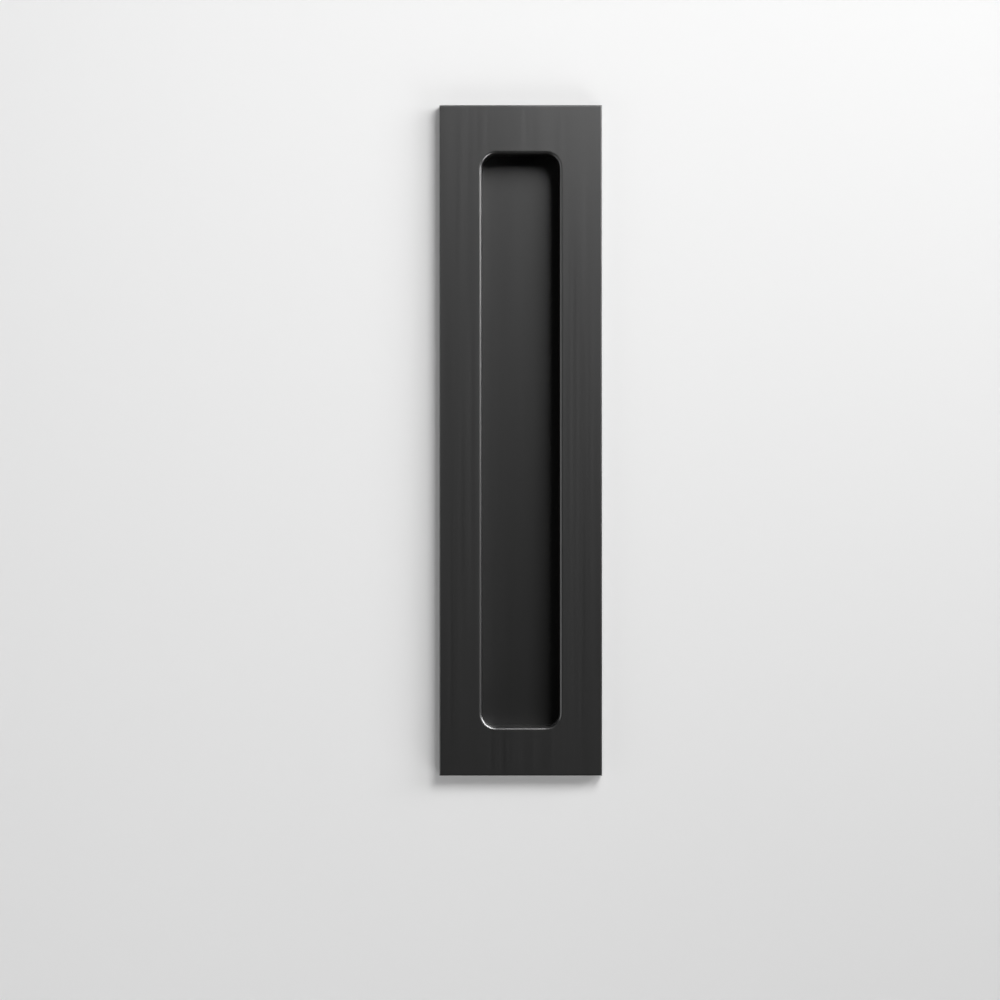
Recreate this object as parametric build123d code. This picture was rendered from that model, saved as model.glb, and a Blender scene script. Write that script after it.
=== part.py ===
from build123d import *
import math
import os

# Flush finger pull: a flat plate that lies on the face it is fitted to, with a long finger pocket in it.
# It is milled from one bar of aluminium. The cup that forms the pocket drops into a slot cut for it,
# and two screws from behind draw the plate tight, so that no fixing shows from the front.
# Sizes are millimetres. The origin is the middle of the plate, on the plane that its back seats on:
# +X to the right, +Z up along the pull, -Y out towards the hand.

# Face plate, sharp-cornered in outline, with its front edges just broken
PLATE_WIDTH = 40.0
PLATE_HEIGHT = 165.0
PLATE_THICKNESS = 3.0
PLATE_EDGE_RADIUS = 0.3

# Finger pocket: the flat land left round it, and how far its floor lies behind the front of the plate
SIDE_LAND = 10.5
END_LAND = 12.0
POCKET_DEPTH = 10.0
POCKET_CORNER_RADIUS = 3.4
POCKET_RIM_RADIUS = 0.8

# Cup that carries the pocket back behind the plate: thin at the sides, thick at the ends to take the screws
CUP_SIDE_WALL = 2.5
CUP_END_WALL = 7.0
CUP_FLOOR = 2.0
CUP_CORNER_RADIUS = 6.0
CUP_BACK_EDGE_RADIUS = 0.8

# Blind holes tapped M4 from behind, one in the middle of each end wall
THREAD_DIAMETER = 4.0
THREAD_DEPTH = 6.0
THREAD_MOUTH_CHAMFER = 0.25
TAP_DRILL_DIAMETER = 3.3
TAP_DRILL_BEYOND_THREAD = 1.5
TAP_DRILL_POINT_ANGLE = 118.0

# Sizes that follow from those above
POCKET_WIDTH = PLATE_WIDTH - 2 * SIDE_LAND
POCKET_HEIGHT = PLATE_HEIGHT - 2 * END_LAND
CUP_WIDTH = POCKET_WIDTH + 2 * CUP_SIDE_WALL
CUP_HEIGHT = POCKET_HEIGHT + 2 * CUP_END_WALL
CUP_DEPTH = POCKET_DEPTH - PLATE_THICKNESS + CUP_FLOOR
FIXING_SPACING = POCKET_HEIGHT + CUP_END_WALL

# Sketch plane that the plate's back seats on, with its normal out towards the hand and its own y up the pull
DOOR_FACE = Plane.XZ


def face_plate():
    """The bar's full section, from the seat to the front."""
    return extrude(DOOR_FACE * Rectangle(PLATE_WIDTH, PLATE_HEIGHT), PLATE_THICKNESS)


def cup():
    """The block behind the plate, with corners that suit the slot's cutter and an eased back edge."""
    outline = RectangleRounded(CUP_WIDTH, CUP_HEIGHT, CUP_CORNER_RADIUS)
    block = extrude(DOOR_FACE * outline, -CUP_DEPTH)
    back = block.faces().sort_by(Axis.Y)[-1]
    return fillet(back.edges(), CUP_BACK_EDGE_RADIUS)


def pocket():
    """What a flat-ended cutter takes out for the fingers: straight walls that meet the floor square."""
    outline = RectangleRounded(POCKET_WIDTH, POCKET_HEIGHT, POCKET_CORNER_RADIUS)
    return extrude(DOOR_FACE.offset(PLATE_THICKNESS) * outline, -POCKET_DEPTH)


def tapped_hole():
    """One screw hole, turned from its half section: eased mouth, threaded bore, drill's end and point."""
    thread_radius = THREAD_DIAMETER / 2
    drill_radius = TAP_DRILL_DIAMETER / 2
    run_out = thread_radius - drill_radius
    drill_depth = THREAD_DEPTH + TAP_DRILL_BEYOND_THREAD
    point = drill_radius / math.tan(math.radians(TAP_DRILL_POINT_ANGLE / 2))
    with BuildPart() as turned:
        with BuildSketch(Plane.XY):
            with BuildLine():
                Polyline(
                    (0, 0),
                    (thread_radius + THREAD_MOUTH_CHAMFER, 0),
                    (thread_radius, -THREAD_MOUTH_CHAMFER),
                    (thread_radius, -THREAD_DEPTH),
                    (drill_radius, -THREAD_DEPTH - run_out),
                    (drill_radius, -drill_depth),
                    (0, -drill_depth - point),
                    close=True,
                )
            make_face()
        revolve(axis=Axis.Y)
    return Pos(0, CUP_DEPTH, 0) * turned.part


def pull_body():
    body = face_plate() + cup() - pocket()
    for end in (-1, 1):
        body -= Pos(0, 0, end * FIXING_SPACING / 2) * tapped_hole()
    front = body.faces().sort_by(Axis.Y)[0]
    body = fillet(front.inner_wires()[0].edges(), POCKET_RIM_RADIUS)
    front = body.faces().sort_by(Axis.Y)[0]
    return fillet(front.outer_wire().edges(), PLATE_EDGE_RADIUS)


os.makedirs("parts", exist_ok=True)
export_step(pull_body(), "parts/pull_body.step")
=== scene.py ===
import math
import bpy
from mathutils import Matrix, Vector


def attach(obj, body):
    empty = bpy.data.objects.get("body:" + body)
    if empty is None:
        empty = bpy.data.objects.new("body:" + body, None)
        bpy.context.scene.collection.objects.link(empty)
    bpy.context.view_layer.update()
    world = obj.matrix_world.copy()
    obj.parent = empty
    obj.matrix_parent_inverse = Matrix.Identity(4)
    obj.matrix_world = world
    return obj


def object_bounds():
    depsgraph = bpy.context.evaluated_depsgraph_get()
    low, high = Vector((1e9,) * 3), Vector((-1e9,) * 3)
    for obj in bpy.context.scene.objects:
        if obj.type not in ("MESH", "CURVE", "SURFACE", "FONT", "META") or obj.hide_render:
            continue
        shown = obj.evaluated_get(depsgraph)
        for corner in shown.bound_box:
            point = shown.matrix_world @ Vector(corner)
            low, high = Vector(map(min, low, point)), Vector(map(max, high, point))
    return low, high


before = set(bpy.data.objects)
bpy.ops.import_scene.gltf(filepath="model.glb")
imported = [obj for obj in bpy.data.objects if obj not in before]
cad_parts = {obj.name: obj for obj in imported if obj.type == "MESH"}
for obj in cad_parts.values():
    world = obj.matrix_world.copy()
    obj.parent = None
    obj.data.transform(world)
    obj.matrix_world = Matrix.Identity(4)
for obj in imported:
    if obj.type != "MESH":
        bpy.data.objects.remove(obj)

cad_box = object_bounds()

# Pull body: face plate, finger pocket and cup in one piece, milled from aluminium bar.
# The flat faces are brushed along the pull, and the whole piece is then anodised satin black.
# Nothing joins it: two screws from behind hold it by the tapped holes in its ends.


class Value:
    """A shader socket that takes part in sums, so that a mask can be written as an expression."""

    def __init__(self, nodes, socket):
        self.nodes = nodes
        self.socket = socket

    def math(self, operation, first, second=0.0):
        return self.nodes.node("ShaderNodeMath", {"operation": operation}, {0: first, 1: second})

    def __add__(self, other):
        return self.math("ADD", self, other)

    def __radd__(self, other):
        return self.math("ADD", other, self)

    def __sub__(self, other):
        return self.math("SUBTRACT", self, other)

    def __rsub__(self, other):
        return self.math("SUBTRACT", other, self)

    def __mul__(self, other):
        return self.math("MULTIPLY", self, other)

    def __rmul__(self, other):
        return self.math("MULTIPLY", other, self)

    def __abs__(self):
        return self.math("ABSOLUTE", self)

    def __or__(self, other):
        return self.math("MAXIMUM", self, other)

    def step(self, low, high):
        """0 below low and 1 above high, with a soft change between them."""
        sockets = {"Value": self, "From Min": low, "From Max": high}
        return self.nodes.node("ShaderNodeMapRange", {"interpolation_type": "SMOOTHSTEP"}, sockets)


class Nodes:
    """The node tree of a finish or of the world, and the one way in which its nodes are made."""

    def __init__(self, owner):
        owner.use_nodes = True
        self.tree = owner.node_tree

    def fill(self, node, sockets):
        for name, value in sockets.items():
            if isinstance(value, Value):
                self.tree.links.new(value.socket, node.inputs[name])
            else:
                node.inputs[name].default_value = value

    def node(self, kind, settings, sockets, output=0):
        made = self.tree.nodes.new(kind)
        for name, value in settings.items():
            setattr(made, name, value)
        self.fill(made, sockets)
        return Value(self, made.outputs[output])

    def noise(self, point, per_metre, detail):
        """Cloudy values from 0 to 1, with this many features in a metre along X, Y and Z."""
        stretched = self.node("ShaderNodeMapping", {}, {"Vector": point, "Scale": per_metre})
        return self.node("ShaderNodeTexNoise", {}, {"Vector": stretched, "Scale": 1.0, "Detail": detail})

    def sine(self, phase):
        return self.node("ShaderNodeMath", {"operation": "SINE"}, {0: phase})


MASK_EDGE = 0.0003


def within(place, half):
    """1 where a coordinate lies within this much of zero, and 0 beyond it."""
    return 1 - abs(place).step(half, half + MASK_EDGE)


POCKET_HALF_WIDTH = 0.0095
POCKET_HALF_HEIGHT = 0.0705
STROKES_PER_METRE = (900.0, 900.0, 12.0)
SHEEN_PER_METRE = (230.0, 230.0, 4.0)
GRAIN_PER_METRE = (7000.0, 7000.0, 7000.0)
FLAT_FACE = (0.80, 0.97)
SLOPED_FACE = (0.10, 0.50)
BRUSHING_LOST_IN_POCKET = 0.6
MILL_FEED = 0.0007
MILL_RADIUS = 0.025
MILL_RELIEF = 8.0
GRAIN_RELIEF = 0.3
RELIEF_DEPTH = 0.0000004
DARK_DYE = (0.0035, 0.0035, 0.0035, 1)
LIGHT_DYE = (0.0065, 0.0065, 0.0065, 1)
SHEEN_IN_DYE = 0.3
ROUGHNESS = 0.32
BACK_ROUGHER = 0.08
STROKES_ROUGHER = 0.06
SHEEN_ROUGHER = 0.012
GRAIN_ROUGHER = 0.03
POCKET_WALL_SHADE_METALLIC = 0.6
REFRACTION = 1.9

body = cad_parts["pull_body"]
anodised = bpy.data.materials.new("black_anodised")
nodes = Nodes(anodised)
satin = anodised.node_tree.nodes["Principled BSDF"]
point = nodes.node("ShaderNodeTexCoord", {}, {}, "Object")
facing = nodes.node("ShaderNodeTexCoord", {}, {}, "Normal")
inward = nodes.node("ShaderNodeSeparateXYZ", {}, {"Vector": facing}, "Y")
across = nodes.node("ShaderNodeSeparateXYZ", {}, {"Vector": point}, "X")
along = nodes.node("ShaderNodeSeparateXYZ", {}, {"Vector": point}, "Z")
front = (-1 * inward).step(*FLAT_FACE)
back = inward.step(*FLAT_FACE)
in_pocket = within(across, POCKET_HALF_WIDTH) * within(along, POCKET_HALF_HEIGHT)
# Painted shade in the pocket: its walls are made partly metallic below, which with the near-black dye dims
# their reflections and keeps a light band off the floor along them.
pocket_wall = in_pocket * (1 - abs(inward).step(*SLOPED_FACE))
strokes = nodes.noise(point, STROKES_PER_METRE, 5.0)
sheen = nodes.noise(point, SHEEN_PER_METRE, 1.0)
grain = nodes.noise(point, GRAIN_PER_METRE, 1.0)
sweep = along + across * across * (0.5 / MILL_RADIUS)
cutter_marks = back * nodes.sine(sweep * (2 * math.pi / MILL_FEED))
brushed = front * (1 - BRUSHING_LOST_IN_POCKET * in_pocket) * (strokes - 0.5)
dye = nodes.node(
    "ShaderNodeMix",
    {"data_type": "RGBA"},
    {"Factor": 0.5 + brushed + SHEEN_IN_DYE * (sheen - 0.5), "A": DARK_DYE, "B": LIGHT_DYE},
    "Result",
)
relief = nodes.node(
    "ShaderNodeBump",
    {},
    {
        "Height": brushed + MILL_RELIEF * cutter_marks + GRAIN_RELIEF * grain,
        "Strength": 1.0,
        "Distance": RELIEF_DEPTH,
    },
)
unevenness = STROKES_ROUGHER * brushed + SHEEN_ROUGHER * (sheen - 0.5) + GRAIN_ROUGHER * (grain - 0.5)
nodes.fill(
    satin,
    {
        "Base Color": dye,
        "Metallic": POCKET_WALL_SHADE_METALLIC * pocket_wall,
        "Roughness": ROUGHNESS + BACK_ROUGHER * back + unevenness,
        "Normal": relief,
        "IOR": REFRACTION,
        "Specular IOR Level": 1.0,
    },
)
body.data.materials.clear()
body.data.materials.append(anodised)

# Threads: the spiral ridges that an M4 tap leaves in the two screw holes, in the same metal and finish.
# Each runs right-handed for seven turns from just inside the hole's mouth, and fades out at both ends.
THREAD_PITCH = 0.0007
THREAD_TURNS = 7
THREAD_START = 0.0035
RIDGE_CREST = 0.00165
RIDGE_ROOT = 0.00202
RIDGE_CREST_WIDTH = 0.000175
RIDGE_ROOT_WIDTH = 0.00061
STEPS_PER_TURN = 40
SMOOTH_BELOW = math.radians(30)
HOLE_FROM_MIDDLE = 0.074


def pick(kind, test):
    """Leaves the active object in edit mode, with only the vertices, edges or faces that pass selected."""
    bpy.ops.object.mode_set(mode="EDIT")
    bpy.ops.mesh.select_mode(type=kind)
    bpy.ops.mesh.select_all(action="DESELECT")
    bpy.ops.object.mode_set(mode="OBJECT")
    mesh = bpy.context.object.data
    for item in {"VERT": mesh.vertices, "EDGE": mesh.edges, "FACE": mesh.polygons}[kind]:
        item.select = test(item)
    bpy.ops.object.mode_set(mode="EDIT")


def shift(move):
    """Moves the whole mesh of the active object, and leaves the object itself at the origin."""
    pick("VERT", lambda vertex: True)
    bpy.ops.transform.translate(value=move)
    bpy.ops.object.mode_set(mode="OBJECT")


def at_thread_end(place, end):
    """Whether a point of the spiral belongs to the section that starts or ends it."""
    return place.x > 0 and abs(place.z) < 1e-6 and abs(place.y - end) < THREAD_PITCH / 2


middle = (RIDGE_CREST + RIDGE_ROOT) / 2
bpy.ops.object.select_all(action="DESELECT")
bpy.ops.mesh.primitive_plane_add(size=1.0, location=(middle, THREAD_START, 0))
bpy.ops.transform.resize(value=(RIDGE_ROOT - RIDGE_CREST, RIDGE_ROOT_WIDTH, 1.0))
bpy.ops.object.transform_apply(location=True, rotation=True, scale=True)
upper_thread = bpy.context.object
upper_thread.name = "upper_thread"
pick("VERT", lambda vertex: vertex.co.x < middle)
bpy.ops.transform.resize(
    value=(1.0, RIDGE_CREST_WIDTH / RIDGE_ROOT_WIDTH, 1.0),
    center_override=(RIDGE_CREST, THREAD_START, 0),
)
bpy.ops.mesh.select_all(action="SELECT")
bpy.ops.mesh.delete(type="ONLY_FACE")
bpy.ops.object.mode_set(mode="OBJECT")
spiral = upper_thread.modifiers.new("spiral", "SCREW")
spiral.axis = "Y"
spiral.angle = 2 * math.pi
spiral.screw_offset = THREAD_PITCH
spiral.iterations = THREAD_TURNS
spiral.steps = STEPS_PER_TURN
spiral.render_steps = STEPS_PER_TURN
spiral.use_normal_calculate = True
bpy.ops.object.modifier_apply(modifier="spiral")
for end in (THREAD_START, THREAD_START + THREAD_TURNS * THREAD_PITCH):
    pick("VERT", lambda vertex: at_thread_end(vertex.co, end))
    bpy.ops.mesh.merge(type="CENTER")
    bpy.ops.transform.translate(value=(RIDGE_ROOT - middle, 0, 0))
    bpy.ops.object.mode_set(mode="OBJECT")
pick("VERT", lambda vertex: True)
bpy.ops.mesh.normals_make_consistent(inside=False)
bpy.ops.object.mode_set(mode="OBJECT")
bpy.ops.object.shade_smooth_by_angle(angle=SMOOTH_BELOW)
upper_thread.data.materials.append(anodised)
bpy.ops.object.duplicate()
lower_thread = bpy.context.object
lower_thread.name = "lower_thread"
shift((0, 0, -HOLE_FROM_MIDDLE))
bpy.ops.object.select_all(action="DESELECT")
bpy.context.view_layer.objects.active = upper_thread
upper_thread.select_set(True)
shift((0, 0, HOLE_FROM_MIDDLE))
for thread in (upper_thread, lower_thread):
    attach(thread, "root")

# Backdrop: a pale paper sheet just behind the plate, with a slot that the cup goes through, as when fitted.
# It curves out over the floor well below, and is seen only from its front, so that the back stays in view.
# Its colour is painted darker to the right, towards the lamps: painted shade that evens out their stronger
# light there. A share of it shows pale without any light, a painted glow that lightens the plate's shadow
# on it.
SHEET_FACE = 0.0006
SHEET_HALF_WIDTH = 2.5
SHEET_TOP = 1.8
SHEET_FLOOR = -1.2
SHEET_COVE = 0.5
COVE_STEPS = 12
SHEET_FRONT = -4.0
SLOT_HALF_WIDTH = 0.01225
SLOT_HALF_HEIGHT = 0.07775
LEFT_TONE = (0.90, 0.90, 0.90, 1)
RIGHT_PAINTED_SHADE_TONE = (0.63, 0.63, 0.63, 1)
SHADE_RAMP_HALF_WIDTH = 0.20
PALE_TONE = (0.8, 0.8, 0.8, 1)
PALE_SHARE = 0.14
PALE_FROM = 0.3
PALE_BELOW = 0.9

bpy.ops.object.select_all(action="DESELECT")
bpy.ops.mesh.primitive_plane_add(size=1.0, location=(0, (SHEET_FRONT + SHEET_FACE) / 2, SHEET_FLOOR))
sheet = bpy.context.object
sheet.name = "backdrop"
bpy.ops.transform.resize(value=(2 * SHEET_HALF_WIDTH, SHEET_FACE - SHEET_FRONT, 1.0))
bpy.ops.object.transform_apply(location=True, rotation=True, scale=True)
points = sheet.data.vertices
pick("EDGE", lambda edge: all(points[v].co.y > 0 for v in edge.vertices))
bpy.ops.mesh.extrude_region_move(TRANSFORM_OT_translate={"value": (0, 0, SHEET_TOP - SHEET_FLOOR)})
bpy.ops.object.mode_set(mode="OBJECT")
points = sheet.data.vertices
pick("EDGE", lambda edge: all(points[v].co.y > 0 and points[v].co.z < 0 for v in edge.vertices))
bpy.ops.mesh.bevel(offset=SHEET_COVE, segments=COVE_STEPS)
for direction, half in (((1, 0, 0), SLOT_HALF_WIDTH), ((0, 0, 1), SLOT_HALF_HEIGHT)):
    for side in (-1, 1):
        bpy.ops.mesh.select_all(action="SELECT")
        bpy.ops.mesh.bisect(plane_co=side * half * Vector(direction), plane_no=direction)
bpy.ops.object.mode_set(mode="OBJECT")
pick("FACE", lambda face: abs(face.center.x) < SLOT_HALF_WIDTH and abs(face.center.z) < SLOT_HALF_HEIGHT)
bpy.ops.mesh.delete(type="FACE")
bpy.ops.object.mode_set(mode="OBJECT")
bpy.ops.object.shade_smooth()
paper = bpy.data.materials.new("backdrop")
nodes = Nodes(paper)
matt = paper.node_tree.nodes["Principled BSDF"]
point = nodes.node("ShaderNodeTexCoord", {}, {}, "Object")
sideways = nodes.node("ShaderNodeSeparateXYZ", {}, {"Vector": point}, "X")
height = nodes.node("ShaderNodeSeparateXYZ", {}, {"Vector": point}, "Z")
# Painted shade: the paper's colour darkens from left to right, to offset the lamps' stronger light on its
# right.
painted_shade_ramp = sideways.step(-SHADE_RAMP_HALF_WIDTH, SHADE_RAMP_HALF_WIDTH)
paper_tone_with_painted_shade = nodes.node(
    "ShaderNodeMix",
    {"data_type": "RGBA"},
    {"Factor": painted_shade_ramp, "A": LEFT_TONE, "B": RIGHT_PAINTED_SHADE_TONE},
    "Result",
)
nodes.fill(matt, {"Base Color": paper_tone_with_painted_shade, "Roughness": 0.9, "Specular IOR Level": 0.0})
behind = nodes.node("ShaderNodeNewGeometry", {}, {}, "Backfacing")
shadow = nodes.node("ShaderNodeLightPath", {}, {}, "Is Shadow Ray")
glossy = nodes.node("ShaderNodeLightPath", {}, {}, "Is Glossy Ray")
camera_ray = nodes.node("ShaderNodeLightPath", {}, {}, "Is Camera Ray")
# Painted light: for the camera a fixed share of the sheet is an unlit pale glow, which lightens the plate's
# shadow on it; low down it becomes all glow, as an evenly bright floor.
floor = (-1 * height).step(PALE_FROM, PALE_BELOW)
pale_part = camera_ray * (PALE_SHARE + (1 - PALE_SHARE) * floor)
pale = nodes.node("ShaderNodeEmission", {}, {"Color": PALE_TONE, "Strength": 1.0})
lit = nodes.node("ShaderNodeMixShader", {}, {0: pale_part, 1: Value(nodes, matt.outputs[0]), 2: pale})
clear = nodes.node("ShaderNodeBsdfTransparent", {}, {})
seen = nodes.node("ShaderNodeMixShader", {}, {0: behind | shadow | glossy, 1: lit, 2: clear})
nodes.fill(paper.node_tree.nodes["Material Output"], {"Surface": seen})
sheet.data.materials.append(paper)

# Flags: black cloths hung all round the pull, with an opening high on the right, for its edges to mirror.
# They keep the satin black dark, as a studio's do, and the camera itself never sees them.
FLAG_LEFT = -2.6
FLAG_RIGHT = 1.4
FLAG_DEPTH = 5.2
FLAG_HEIGHT = 3.6
OPENING_SILL = 0.45
CLOTH_BLACK = (0.01, 0.01, 0.01, 1)

bpy.ops.object.select_all(action="DESELECT")
bpy.ops.mesh.primitive_cube_add(size=1.0, location=((FLAG_LEFT + FLAG_RIGHT) / 2, 0, 0))
bpy.ops.transform.resize(value=(FLAG_RIGHT - FLAG_LEFT, FLAG_DEPTH, FLAG_HEIGHT))
bpy.ops.object.transform_apply(location=True, rotation=True, scale=True)
flag = bpy.context.object
flag.name = "flags"
pick("FACE", lambda face: face.normal.x > 0.9)
bpy.ops.mesh.bisect(plane_co=(0, 0, OPENING_SILL), plane_no=(0, 0, 1))
bpy.ops.object.mode_set(mode="OBJECT")
pick("FACE", lambda face: face.normal.x > 0.9 and face.center.z > OPENING_SILL)
bpy.ops.mesh.delete(type="FACE")
bpy.ops.object.mode_set(mode="OBJECT")
cloth = bpy.data.materials.new("flags")
nodes = Nodes(cloth)
weave = cloth.node_tree.nodes["Principled BSDF"]
nodes.fill(weave, {"Base Color": CLOTH_BLACK, "Roughness": 1.0, "Specular IOR Level": 0.0})
flag.data.materials.append(cloth)
flag.visible_camera = False
flag.visible_diffuse = False
flag.visible_shadow = False

# Lamps: soft square boxes aimed at the pull. The key, high on the right, makes the plate's sheen and the
# pocket's shade. The left and right ones draw the rim's lines, the far and low ones lift the sheet, and
# the rear one lights the back. Each is given by its place, its width and its power.


def softbox(name, place, size, power):
    lamp = bpy.data.lights.new(name, "AREA")
    lamp.size = size
    lamp.energy = power
    box = bpy.data.objects.new(name, lamp)
    box.location = place
    box.rotation_euler = (-Vector(place)).to_track_quat("-Z", "Y").to_euler()
    bpy.context.scene.collection.objects.link(box)


softbox("key", (0.205, -0.40, 0.30), 0.26, 2.55)
softbox("left", (-1.20, -0.60, 0.00), 0.90, 2.2)
softbox("right", (0.42, -0.17, 0.115), 0.14, 0.33)
softbox("low left", (-0.90, -0.50, -0.80), 0.70, 1.0)
softbox("far right", (1.60, -0.75, 0.80), 0.90, 14.5)
softbox("low right", (0.90, -0.45, -0.85), 0.70, 6.6)
softbox("rear", (0.45, 1.00, 0.30), 0.60, 6.0)

# Room: dim all round, so that it adds next to no light of its own.
# It is pale only where the camera or a reflection looks past the sheet and the flags.
ROOM_DIM = 0.03
ROOM_PALE = 0.77

room = bpy.data.worlds.new("room")
nodes = Nodes(room)
bpy.context.scene.world = room
camera_ray = nodes.node("ShaderNodeLightPath", {}, {}, "Is Camera Ray")
glossy_ray = nodes.node("ShaderNodeLightPath", {}, {}, "Is Glossy Ray")
clear_ray = nodes.node("ShaderNodeLightPath", {}, {}, "Is Transmission Ray")
strength = ROOM_DIM + ROOM_PALE * (camera_ray | glossy_ray | clear_ray)
nodes.fill(room.node_tree.nodes["Background"], {"Color": (1, 1, 1, 1), "Strength": strength})

# Camera: square on to the plate and level, with a long lens, so that hardly any of the pocket's walls show.
# The lens is set for a picture 1000 pixels wide, and a pixel is measured on the front of the plate.
PIXEL = 0.0002461
PICTURE_WIDTH = 1000
PLATE_CENTRE_PIXEL = (520.8, 440.4)
CAMERA_DISTANCE = 1.26
SENSOR_WIDTH = 36.0

lens = bpy.data.cameras.new("camera")
lens.sensor_width = SENSOR_WIDTH
lens.lens = SENSOR_WIDTH * CAMERA_DISTANCE / (PICTURE_WIDTH * PIXEL)
camera = bpy.data.objects.new("camera", lens)
camera.location = (
    (PICTURE_WIDTH / 2 - PLATE_CENTRE_PIXEL[0]) * PIXEL,
    cad_box[0][1] - CAMERA_DISTANCE,
    (PLATE_CENTRE_PIXEL[1] - PICTURE_WIDTH / 2) * PIXEL,
)
camera.rotation_euler = (math.radians(90), 0, 0)
bpy.context.scene.collection.objects.link(camera)
bpy.context.scene.camera = camera
bpy.context.scene.view_settings.view_transform = "Standard"
